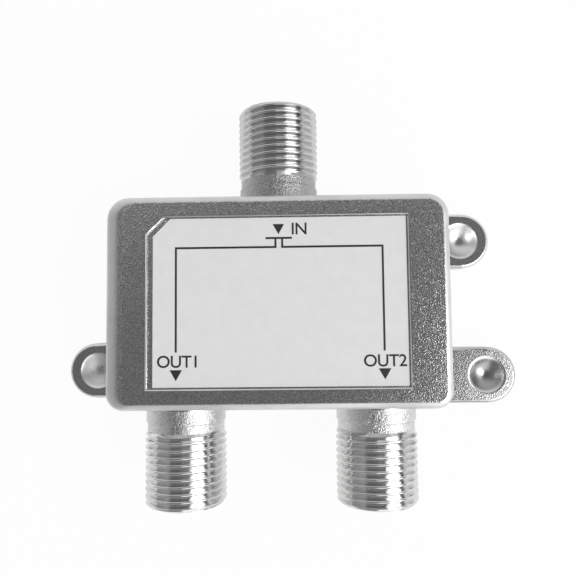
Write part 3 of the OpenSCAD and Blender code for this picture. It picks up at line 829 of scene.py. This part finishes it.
@dataclass
class Thread:
    """The 3/8-32 thread of a port: one profile, turned up its axis and trimmed by a bevelled blank."""

    crest_r: float = 4.725 * MM
    root_r: float = 4.28 * MM
    pitch: float = 0.79375 * MM
    length: float = 8.56 * MM
    end_gap: float = 0.03 * MM
    end_bevel: float = 0.52 * MM
    start_r: float = 4.46 * MM
    start_run: float = 0.7 * MM
    over_crest: float = 0.002 * MM
    core: float = 0.87
    spare_turns: int = 4
    bevel_steps: int = 3
    steps: int = 96
    profile: tuple[tuple[float, float], ...] = (
        (0.0, 0.0), (0.05, 0.02), (0.1, 0.12), (0.34, 0.86), (0.38, 0.94), (0.43, 0.985), (0.5, 1.0),
        (0.57, 0.985), (0.62, 0.94), (0.66, 0.86), (0.9, 0.12), (0.95, 0.02), (1.0, 0.0),
    )

    def turned(self) -> bpy.types.Object:
        """Returns the threaded skin round the Y axis, from y = 0 on, with both ends cut square and closed."""
        Bench.clear()
        bpy.ops.mesh.primitive_plane_add(size=self.pitch, location=(0, 0, 0))
        stud = Bench.name("port_thread")
        with Bench.editing(stud, "VERT"):
            bpy.ops.mesh.select_all(action="SELECT")
            bpy.ops.mesh.merge(type="CENTER")
            bpy.ops.transform.translate(value=(self.root_r, -2 * self.pitch, 0))
            depth = self.crest_r - self.root_r
            last = self.profile[0]
            for at, share in self.profile[1:]:
                step = ((share - last[1]) * depth, (at - last[0]) * self.pitch, 0)
                bpy.ops.mesh.extrude_vertices_move(TRANSFORM_OT_translate={"value": step})
                last = (at, share)
        turns = math.ceil(self.length / self.pitch) + self.spare_turns
        Bench.apply(stud, "SCREW", axis="Y", angle=math.tau, screw_offset=self.pitch, iterations=turns,
                    steps=self.steps, render_steps=self.steps)
        with Bench.editing(stud, "VERT"):
            bpy.ops.mesh.select_all(action="SELECT")
            bpy.ops.mesh.remove_doubles(threshold=TOUCH)
            for y, keep_above in ((0.0, True), (self.length - self.end_gap, False)):
                bpy.ops.mesh.select_all(action="SELECT")
                bpy.ops.mesh.bisect(plane_co=(0, y, 0), plane_no=(0, 1, 0), threshold=TOUCH,
                                    clear_inner=keep_above, clear_outer=not keep_above)
        ends = (0.0, self.length - self.end_gap)

        def on_end(edge: bmesh.types.BMEdge) -> bool:
            """Says whether an open edge lies at the end that is being closed."""
            return edge.is_boundary and all(abs(v.co.y - y) < TOUCH for v in edge.verts)

        with Bench.editing(stud, "EDGE"):
            for y in ends:
                Bench.choose(stud, "edges", on_end)
                bpy.ops.mesh.extrude_edges_move()
                bpy.ops.transform.resize(value=(self.core, 1, self.core), center_override=(0, y, 0))
            Bench.choose(stud, "edges", lambda e: e.is_boundary)
            bpy.ops.mesh.bridge_edge_loops()
            bpy.ops.mesh.select_all(action="SELECT")
            bpy.ops.mesh.normals_make_consistent(inside=False)
        return stud

    def blank(self) -> bpy.types.Object:
        """Returns the plain bar that trims the thread, sloped at its start and bevelled at its end."""
        Bench.clear()
        length = self.length - self.end_gap
        radius = self.crest_r + self.over_crest
        bpy.ops.mesh.primitive_cylinder_add(vertices=self.steps, radius=radius, depth=length,
                                            location=(0, length / 2, 0), rotation=(math.pi / 2, 0, 0))
        bpy.ops.object.transform_apply(location=True, rotation=True, scale=True)
        bar = Bench.name("thread_blank")
        with Bench.editing(bar, "EDGE"):
            bpy.ops.mesh.select_all(action="SELECT")
            bpy.ops.mesh.bisect(plane_co=(0, self.start_run, 0), plane_no=(0, 1, 0), threshold=TOUCH)
            Bench.choose(bar, "edges", lambda e: all(abs(v.co.y) < TOUCH for v in e.verts))
            ratio = self.start_r / radius
            bpy.ops.transform.resize(value=(ratio, 1, ratio), center_override=(0, 0, 0))
            Bench.choose(bar, "edges", lambda e: all(abs(v.co.y - length) < TOUCH for v in e.verts))
            bpy.ops.mesh.bevel(offset=self.end_bevel, segments=self.bevel_steps, profile=0.5, affect="EDGES")
        return bar

    def build(self) -> bpy.types.Object:
        """Returns the finished thread round the Y axis, starting at y = 0."""
        stud = self.turned()
        bar = self.blank()
        Bench.apply(stud, "BOOLEAN", operation="INTERSECT", object=bar, solver="EXACT")
        bpy.data.objects.remove(bar)
        return stud


@dataclass
class Port:
    """One port: where its axis is and which way it faces."""

    name: str
    x: float
    facing: int

    def place(self, thread: bpy.types.Object, start: float, axis_z: float) -> bpy.types.Object:
        """Copies the thread to this port.

        Args:
            thread: The thread round the Y axis.
            start: Distance of its start from the middle of the housing.
            axis_z: Height of the port's axis.

        Returns:
            The copy, with its place in its mesh.
        """
        twin = Bench.copy(thread, f"{self.name}_thread")
        with Bench.editing(twin, "VERT"):
            bpy.ops.mesh.select_all(action="SELECT")
            bpy.ops.transform.translate(value=(0, start, 0))
            if self.facing < 0:
                bpy.ops.transform.rotate(value=math.pi, orient_axis="Z", center_override=(0, 0, 0))
            bpy.ops.transform.translate(value=(self.x, 0, axis_z))
        return twin


@dataclass
class Housing:
    """The die casting with its three threaded ports and three screw ears."""

    front_z: float = 15.2 * MM
    recess_x: float = 14.0 * MM
    recess_y: float = 9.2 * MM
    lip: float = 0.2 * MM
    cast_round: float = 1.4 * MM
    edge_round: float = 0.9 * MM
    edge_depth: float = 1.0 * MM
    crown: float = 2.4 * MM
    half_x: float = 18.6 * MM
    half_y: float = 11.55 * MM
    inlet_corner: float = 2.4 * MM
    outlet_corner: float = 1.9 * MM
    ear_top: float = 2.6 * MM
    ear_side: float = 2.3 * MM
    ear_x: float = 18.9 * MM
    box_y: float = 11.57 * MM
    axis_z: float = 7.7 * MM
    thread_start: float = 14.8 * MM
    thread_lead: float = 0.26 * MM
    ring_slack: float = 0.012 * MM
    ear_edge: float = 0.09 * MM
    ear_bare: float = 19.1 * MM
    thread_r: float = 4.725 * MM
    rim_r: float = 4.205 * MM
    core_r: float = 4.14 * MM
    flat_turn: float = 0.6
    body_turn: float = 32.0
    thread_turn: float = 50.0
    lip_angle: float = 0.5
    lip_slack: float = 0.01 * MM
    lip_clear: tuple[float, float] = (1 * MM, 0.1 * MM)
    ear_angles: tuple[float, float] = (0.3, 2.0)
    bevel_steps: int = 3
    normal_weight: int = 60
    ports: tuple[Port, ...] = (Port("in", 0.0, 1), Port("out1", -11.2 * MM, -1), Port("out2", 11.2 * MM, -1))
    thread: Thread = field(default_factory=Thread)

    def axis_distance(self, point: Vector, port: Port) -> float:
        """Returns how far a point lies from a port's axis."""
        return math.hypot(point.x - port.x, point.z - self.axis_z)

    def casting(self) -> bpy.types.Object:
        """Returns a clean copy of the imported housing, its flat faces whole again."""
        body = Bench.copy(frame["nodes"]["housing"], "housing_casting")
        bpy.ops.mesh.customdata_custom_splitnormals_clear()
        with Bench.editing(body, "VERT"):
            bpy.ops.mesh.select_all(action="SELECT")
            bpy.ops.mesh.remove_doubles(threshold=NEAR)
            bpy.ops.mesh.select_all(action="SELECT")
            bpy.ops.mesh.dissolve_limited(angle_limit=math.radians(self.flat_turn))
        return body

    def round_front(self, body: bpy.types.Object) -> None:
        """Draws the rounding of the front edge tighter, with a wide soft crown along the left side."""
        start = self.front_z - self.cast_round
        past_x = self.recess_x + self.lip_clear[0]
        past_y = self.recess_y + self.lip_clear[1]

        def on_edge(point: Vector) -> bool:
            """Says whether a point lies on the rounding, outside the recess."""
            return (abs(point.x) > past_x or abs(point.y) > past_y) and point.z > start + NEAR

        reach: dict[float, float] = {}
        for vert in body.data.vertices:
            if on_edge(vert.co):
                level = round(vert.co.z, 7)
                reach[level] = max(reach.get(level, 0.0), vert.co.x)
        for level, right in reach.items():
            inset = self.half_x - right
            share = inset / self.cast_round
            drop = (self.edge_depth / self.cast_round - 1) * (level - self.front_z)
            for side, end in ((-1, -1), (-1, 1), (1, -1), (1, 1)):
                radius = self.inlet_corner if end > 0 else self.outlet_corner
                ratio = (radius - share * self.edge_round) / (radius - inset)
                centre = (side * (self.half_x - radius), end * (self.half_y - radius), level)
                shift = share * (self.crown - self.edge_round) if side < 0 else 0.0

                def at_corner(vert: bmesh.types.BMVert, side: int = side, end: int = end) -> bool:
                    """Says whether a point of this level belongs to the corner."""
                    p = vert.co
                    return on_edge(p) and abs(p.z - level) < NEAR and p.x * side > 0 and p.y * end > 0

                with Bench.editing(body, "VERT"):
                    Bench.choose(body, "verts", at_corner)
                    bpy.ops.transform.resize(value=(ratio, ratio, 1), center_override=centre)
                    bpy.ops.transform.translate(value=(shift, 0, 0))
            with Bench.editing(body, "VERT"):
                Bench.choose(body, "verts", lambda v: on_edge(v.co) and abs(v.co.z - level) < NEAR)
                bpy.ops.transform.translate(value=(0, 0, drop))

    def slim_barrels(self, body: bpy.types.Object) -> None:
        """Draws the plain barrels in, to the core that the threads stand on."""
        for port in self.ports:
            for radius in (self.thread_r, self.rim_r):

                def on_ring(vert: bmesh.types.BMVert, port: Port = port, radius: float = radius) -> bool:
                    """Says whether a point lies on the port at the given radius, out by its thread."""
                    out = vert.co.y * port.facing > self.thread_start - NEAR
                    return out and abs(self.axis_distance(vert.co, port) - radius) < self.ring_slack

                ratio = self.core_r / radius
                axis = (port.x, 0, self.axis_z)
                with Bench.editing(body, "VERT"):
                    Bench.choose(body, "verts", on_ring)
                    bpy.ops.transform.resize(value=(ratio, 1, ratio), center_override=axis)

    def soften(self, body: bpy.types.Object) -> None:
        """Rounds the recess lip and the edges of the ears and dishes."""
        far_x = self.recess_x + self.lip_slack
        far_y = self.recess_y + self.lip_slack

        def on_lip(edge: bmesh.types.BMEdge) -> bool:
            """Says whether an edge runs round the mouth of the recess."""
            a, b = (v.co for v in edge.verts)
            level = all(abs(p.z - self.front_z) < NEAR for p in (a, b))
            inside = all(abs(p.x) < far_x and abs(p.y) < far_y for p in (a, b))
            return level and inside and abs(edge.calc_face_angle(0)) > self.lip_angle

        def on_ear(edge: bmesh.types.BMEdge) -> bool:
            """Says whether an edge runs along the top of an ear, or round its dish."""
            levels = (self.ear_top, self.ear_side)
            shallow, steep = self.ear_angles
            flat = any(all(abs(v.co.z - z) < NEAR for v in edge.verts) for z in levels)
            outside = all(abs(v.co.x) > self.ear_bare for v in edge.verts)
            return flat and outside and shallow < abs(edge.calc_face_angle(0)) < steep

        for test, size, held in ((on_lip, self.lip, False), (on_ear, self.ear_edge, True)):
            with Bench.editing(body, "EDGE"):
                Bench.choose(body, "edges", test)
                bpy.ops.mesh.bevel(offset=size, segments=self.bevel_steps, profile=0.5, affect="EDGES",
                                   clamp_overlap=held, loop_slide=held)

    def level_flats(self, body: bpy.types.Object) -> None:
        """Keeps the shading of flat faces level up to their rounded edges, away from the ports."""
        flats = body.vertex_groups.new(name="flats")
        inside = [v.index for v in body.data.vertices if abs(v.co.y) < self.box_y or abs(v.co.x) > self.ear_x]
        flats.add(inside, 1.0, "REPLACE")
        Bench.apply(body, "WEIGHTED_NORMAL", keep_sharp=True, weight=self.normal_weight, vertex_group="flats")
        body.vertex_groups.clear()

    def build(self) -> bpy.types.Object:
        """Models the casting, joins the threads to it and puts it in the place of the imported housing."""
        body = self.casting()
        self.round_front(body)
        self.slim_barrels(body)
        self.soften(body)
        Bench.smooth(body, self.body_turn)
        self.level_flats(body)
        dress(body, Finish.CAST)
        master = self.thread.build()
        Bench.smooth(master, self.thread_turn)
        dress(master, Finish.THREAD)
        start = self.thread_start - self.thread_lead
        threads = [port.place(master, start, self.axis_z) for port in self.ports]
        bpy.data.objects.remove(master)
        Bench.join(body, threads)
        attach(body, "root")
        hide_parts("housing")
        return body


@dataclass
class LabelPrint:
    """The black print on the label: a plain signal path from the inlet to both outlets, and port marks."""

    top: float = 14.92 * MM
    thick: float = 0.012 * MM
    line: float = 0.22 * MM
    middle: float = 0.2 * MM
    branch_x: float = 11.1 * MM
    branch_top: float = 5.85 * MM
    branch_end: float = -5.33 * MM
    stub_x: float = 0.36 * MM
    bar_half: float = 1.42 * MM
    bar_y: float = 6.82 * MM
    text_size: float = 1.8 * MM
    text_weight: float = 0.02 * MM
    text_spacing: float = 0.96
    outlet_pointer: tuple[float, float, float] = (-7.2 * MM, 1.32 * MM, 1.16 * MM)
    inlet_pointer: tuple[float, float, float] = (8.33 * MM, 1.23 * MM, 1.1 * MM)
    inlet_pointer_x: float = -0.03 * MM
    marks: tuple[tuple[str, float, float], ...] = (
        ("IN", 2.2 * MM, 7.2 * MM), ("OUT1", -10.85 * MM, -6.92 * MM), ("OUT2", 11.15 * MM, -6.98 * MM),
    )

    def bar(self, x0: float, x1: float, y0: float, y1: float) -> bpy.types.Object:
        """Adds a printed bar between two corners.

        Args:
            x0: Its left side, from the middle of the print.
            x1: Its right side.
            y0: Its lower side.
            y1: Its upper side.

        Returns:
            The bar.
        """
        Bench.clear()
        middle = (self.middle + (x0 + x1) / 2, (y0 + y1) / 2, self.top + self.thick / 2)
        bpy.ops.mesh.primitive_cube_add(size=1, location=middle)
        bar = Bench.name("print_bar")
        bar.scale = (x1 - x0, y1 - y0, self.thick)
        bpy.ops.object.transform_apply(location=True, rotation=True, scale=True)
        return bar

    def pointer(self, x: float, y_top: float, width: float, height: float) -> bpy.types.Object:
        """Adds a small triangle that points down.

        Args:
            x: Its middle, from the middle of the print.
            y_top: Its upper side.
            width: Its width.
            height: Its height.

        Returns:
            The triangle.
        """
        Bench.clear()
        bpy.ops.mesh.primitive_cylinder_add(vertices=3, radius=1, depth=1, rotation=(0, 0, math.pi))
        mark = Bench.name("print_pointer")
        mark.scale = (width / math.sqrt(3), height / 1.5, self.thick)
        mark.location = (self.middle + x, y_top - height / 3, self.top + self.thick / 2)
        bpy.ops.object.transform_apply(location=True, rotation=True, scale=True)
        return mark

    def mark(self, text: str, x: float, y: float) -> bpy.types.Object:
        """Adds a port mark.

        Args:
            text: What it says.
            x: Its middle, from the middle of the print.
            y: Its base line.

        Returns:
            The mark as a closed mesh.
        """
        Bench.clear()
        bpy.ops.object.text_add(location=(self.middle + x, y, self.top + self.thick / 2))
        mark = bpy.context.active_object
        mark.data.body = text
        mark.data.size = self.text_size
        mark.data.align_x = "CENTER"
        mark.data.extrude = self.thick / 2
        mark.data.offset = self.text_weight
        mark.data.space_character = self.text_spacing
        bpy.ops.object.convert(target="MESH")
        mark = Bench.name("print_mark")
        with Bench.editing(mark, "VERT"):
            bpy.ops.mesh.select_all(action="SELECT")
            bpy.ops.mesh.remove_doubles(threshold=TOUCH)
        bpy.ops.object.transform_apply(location=True, rotation=True, scale=True)
        return mark

    def build(self) -> bpy.types.Object:
        """Draws the print and returns it."""
        half = self.line / 2
        pieces = [self.bar(-self.bar_half, self.bar_half, self.bar_y - half, self.bar_y + half)]
        for side in (-1, 1):
            for x0, x1, y0, y1 in (
                (self.stub_x - half, self.stub_x + half, self.branch_top + half, self.bar_y - half),
                (self.stub_x - half, self.branch_x + half, self.branch_top - half, self.branch_top + half),
                (self.branch_x - half, self.branch_x + half, self.branch_end, self.branch_top - half),
            ):
                left, right = sorted((side * x0, side * x1))
                pieces.append(self.bar(left, right, y0, y1))
            pieces.append(self.pointer(side * self.branch_x, *self.outlet_pointer))
        pieces.append(self.pointer(self.inlet_pointer_x, *self.inlet_pointer))
        pieces += [self.mark(*mark) for mark in self.marks]
        ink = pieces[0]
        Bench.join(ink, pieces[1:])
        ink = Bench.name("label_print")
        dress(ink, Finish.INK)
        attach(ink, "root")
        return ink


@dataclass
class Camera:
    """The camera, where the photograph was taken from."""

    place: Point = (2.22 * MM, -2.17 * MM, 73.53 * MM)
    pitch: float = 3.503
    roll: float = 1.060
    turn: float = -0.628
    lens: float = 34.338
    sensor: float = 36.0
    nearest: float = 0.002
    farthest: float = 10.0

    def build(self) -> bpy.types.Object:
        """Adds the camera and makes it the scene's own."""
        Bench.clear()
        bpy.ops.object.camera_add(location=self.place)
        camera = bpy.context.active_object
        camera.name = "photo_camera"
        camera.rotation_mode = "ZXY"
        camera.rotation_euler = tuple(math.radians(a) for a in (self.pitch, self.roll, self.turn))
        camera.data.sensor_width = self.sensor
        camera.data.lens = self.lens
        camera.data.clip_start = self.nearest
        camera.data.clip_end = self.farthest
        bpy.context.scene.camera = camera
        return camera


@dataclass
class Softbox:
    """A soft light panel that looks at the object."""

    name: str
    azimuth: float
    elevation: float
    distance: float
    size: tuple[float, float]
    radiance: float

    def build(self) -> bpy.types.Object:
        """Adds the panel. Azimuth runs from +X towards +Y, in degrees."""
        a = math.radians(self.azimuth)
        e = math.radians(self.elevation)
        place = Vector((math.cos(a) * math.cos(e), math.sin(a) * math.cos(e), math.sin(e))) * self.distance
        Bench.clear()
        bpy.ops.object.light_add(type="AREA", location=place)
        panel = bpy.context.active_object
        panel.name = self.name
        panel.rotation_euler = place.to_track_quat("Z", "Y").to_euler()
        panel.data.shape = "RECTANGLE"
        panel.data.size, panel.data.size_y = self.size
        panel.data.energy = self.radiance * math.pi * self.size[0] * self.size[1]
        return panel


@dataclass
class Studio:
    """Floor, surroundings and lamps."""

    floor_size: float = 3.0
    floor_z: float = -0.00002
    floor_grey: float = 0.95
    camera_share: float = 0.95
    mirror_share: float = 0.8
    across: tuple[tuple[float, float], ...] = (
        (-90.0, 0.42), (-60.0, 0.46), (-46.0, 0.50), (-38.0, 0.20), (8.0, 0.18), (14.0, 0.17), (29.0, 0.16),
        (31.0, 1.60), (57.0, 1.60), (60.0, 0.09), (76.0, 0.09), (81.0, 1.1), (110.0, 1.1),
    )
    inlet_side: float = 0.85
    inlet_grey: float = 0.28
    inlet_fade: float = 0.6
    backdrop: float = 0.98
    outlet_change: tuple[float, float] = (0.44, 0.47)
    side_reach: tuple[float, float] = (0.38, 0.6)
    inlet_reach: tuple[float, float] = (0.16, 0.24)
    outlet_left: float = 0.28
    outlet_right: float = 1.5
    lamps: tuple[Softbox, ...] = (
        Softbox("key_panel", -24.0, 44.0, 0.6, (0.24, 0.42), 4.2),
    )

    def floor(self) -> bpy.types.Object:
        """Adds the pale floor, which shows white to the camera and keeps the object's shadow."""
        Bench.clear()
        bpy.ops.mesh.primitive_plane_add(size=self.floor_size, location=(0, 0, self.floor_z))
        ground = Bench.name("floor")
        material = bpy.data.materials.new("pale_floor")
        material.use_nodes = True
        tree = material.node_tree
        tree.nodes.clear()
        g = Graph(tree)
        matt = g.add("ShaderNodeBsdfDiffuse", Color=(self.floor_grey, self.floor_grey, self.floor_grey, 1))
        glow = g.add("ShaderNodeEmission", Color=(1, 1, 1, 1), Strength=1.0)
        path = g.add("ShaderNodeLightPath")
        mirrored = g.math("MAXIMUM", path.outputs["Is Glossy Ray"], path.outputs["Is Transmission Ray"])
        mirrored = g.math("MULTIPLY", mirrored, self.mirror_share)
        seen = g.math("MULTIPLY", path.outputs["Is Camera Ray"], self.camera_share)
        both = g.add("ShaderNodeMixShader", Fac=g.math("MAXIMUM", seen, mirrored))
        tree.links.new(matt.outputs[0], both.inputs[1])
        tree.links.new(glow.outputs[0], both.inputs[2])
        tree.links.new(both.outputs[0], g.add("ShaderNodeOutputMaterial").inputs["Surface"])
        ground.data.materials.append(material)
        return ground

    def surroundings(self) -> None:
        """Gives the world a pale backdrop, with a dim top, a bright strip and pale sides for the metal."""
        world = bpy.data.worlds.new("studio")
        world.use_nodes = True
        world.node_tree.nodes.clear()
        bpy.context.scene.world = world
        g = Graph(world.node_tree)
        direction = g.add("ShaderNodeTexCoord").outputs["Generated"]
        x, y, z = g.add("ShaderNodeSeparateXYZ", Vector=direction).outputs
        lean = g.math("DIVIDE", g.math("ARCTAN2", x, z), math.tau)
        stops = [(0.5 + angle / 360.0, grey) for angle, grey in self.across]
        strip = g.ramp(g.math("ADD", lean, 0.5), *stops)
        start, end = self.outlet_change
        outlets = g.ramp(g.math("ADD", x, 0.5), (start, self.outlet_left), (end, self.outlet_right))
        sides = g.blend(g.math("GREATER_THAN", y, 0.0), outlets, (self.inlet_side,) * 3)
        start, end = self.side_reach
        reach = g.ramp(g.math("ABSOLUTE", y), (start, 0.0), (end, 1.0))
        start, end = self.inlet_reach
        past_inlet = g.ramp(y, (start, 0.0), (end, self.inlet_fade))
        strip = g.blend(past_inlet, strip, (self.inlet_grey,) * 3)
        mirrored = g.blend(reach, strip, sides)
        seen = g.add("ShaderNodeLightPath").outputs["Is Camera Ray"]
        colour = g.blend(seen, mirrored, (self.backdrop,) * 3)
        sky = g.add("ShaderNodeBackground", Color=colour, Strength=1.0)
        g.tree.links.new(sky.outputs[0], g.add("ShaderNodeOutputWorld").inputs["Surface"])

    def build(self) -> None:
        """Sets the stage and the plain view transform."""
        self.floor()
        self.surroundings()
        for lamp in self.lamps:
            lamp.build()
        bpy.context.scene.view_settings.view_transform = "Standard"


NODE_FINISHES: dict[str, Finish] = {
    "label": Finish.FILM,
    "back_cover": Finish.TIN,
    "circuit_board": Finish.LAMINATE,
    "insulator": Finish.NYLON,
    "plug": Finish.NYLON,
    "contact": Finish.BRASS,
    "core": Finish.FERRITE,
    "winding": Finish.WIRE,
    "diode": Finish.EPOXY,
    "capacitor": Finish.TAN,
    "resistor": Finish.BLUE,
}


def dress_nodes() -> None:
    """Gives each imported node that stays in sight, or inside, its own finish."""
    for name, node in frame["nodes"].items():
        for ending, finish in NODE_FINISHES.items():
            if name.endswith(ending):
                dress(node, finish)
                log.info("dressed %s", name)


def main() -> None:
    """Builds the camera, the housing and the stage."""
    logging.basicConfig(level=logging.INFO, format="%(message)s")
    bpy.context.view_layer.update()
    Camera().build()
    dress_nodes()
    body = Housing().build()
    log.info("housing: %d faces", len(body.data.polygons))
    ink = LabelPrint().build()
    log.info("label print: %d faces", len(ink.data.polygons))
    Studio().build()


if __name__ == "__main__":
    main()
